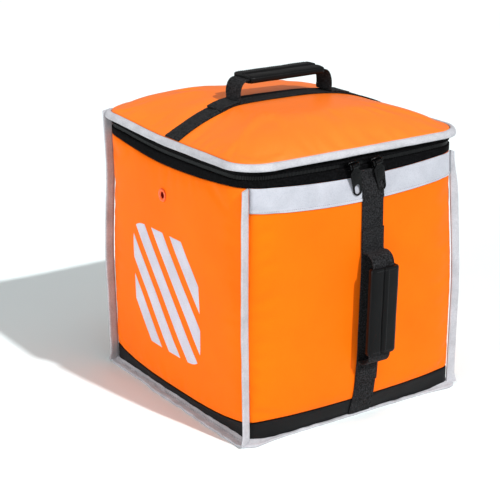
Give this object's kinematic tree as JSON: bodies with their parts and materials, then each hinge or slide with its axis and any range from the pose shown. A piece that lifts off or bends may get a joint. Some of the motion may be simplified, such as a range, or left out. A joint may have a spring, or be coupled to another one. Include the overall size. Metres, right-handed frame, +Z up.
{
  "type": "insulated delivery backpack",
  "caption": "Padded insulated cube backpack with a domed zip lid, bound fin seams, webbing straps with wrapped carrying handles, and padded shoulder straps on the back.",
  "frame": {"origin": "middle of the underside, on the floor", "axes": "+Z up, -Y out of the front panel with the zip pulls, +Y out of the back panel with the shoulder straps, -X out of the panel with the vent eyelet"},
  "size_m": [0.3972, 0.4929, 0.4852],
  "materials": {
    "orange_cloth": "smooth coated nylon, slight sheen",
    "base_cloth": "coated, slight sheen",
    "black_webbing": "woven, matte",
    "zip_cloth": "woven, matte",
    "grip_leather": "grained, slight sheen",
    "binding_tape": "ribbed, matte",
    "reflective_film": "reflective film, satin",
    "zip_metal": "black enamel",
    "eyelet_rubber": "moulded",
    "buckle_plastic": "moulded"
  },
  "bodies": {
    "bag": {"base_tray": "base_cloth", "front_panel": "orange_cloth", "right_panel": "orange_cloth", "back_panel": "orange_cloth", "left_panel": "orange_cloth", "vent_eyelet": "eyelet_rubber", "floor_binding": "binding_tape", "edge_binding_front_left": "binding_tape", "edge_binding_front_right": "binding_tape", "edge_binding_back_left": "binding_tape", "edge_binding_back_right": "binding_tape", "zip_tape_lower": "zip_cloth", "zip_coil": "zip_cloth", "zip_tape_upper": "zip_cloth", "lid": "orange_cloth", "lid_binding": "binding_tape", "reflective_strip": "reflective_film", "front_strap": "black_webbing", "front_handle_webbing": "black_webbing", "front_handle_grip": "grip_leather", "top_strap": "black_webbing", "top_handle_webbing": "black_webbing", "top_handle_grip": "grip_leather", "zip_slider_left": "zip_metal", "zip_slider_right": "zip_metal", "shoulder_pad_left": "black_webbing", "shoulder_pad_right": "black_webbing", "shoulder_adjuster_left": "buckle_plastic", "shoulder_adjuster_right": "buckle_plastic", "shoulder_webbing_left": "black_webbing", "shoulder_webbing_right": "black_webbing"},
    "pull_left": {"zip_pull_left": "zip_metal"},
    "pull_right": {"zip_pull_right": "zip_metal"}
  },
  "joints": [
    {"name": "pull_left_swing", "type": "hinge", "parent": "bag", "child": "pull_left", "pos_m": [-0.017, -0.20902, 0.384], "axis": [-0.9903, 0, -0.1392], "range_deg": [0, 120]},
    {"name": "pull_right_swing", "type": "hinge", "parent": "bag", "child": "pull_right", "pos_m": [0.023, -0.20899, 0.384], "axis": [-0.9781, 0, -0.2079], "range_deg": [0, 120]}
  ]
}
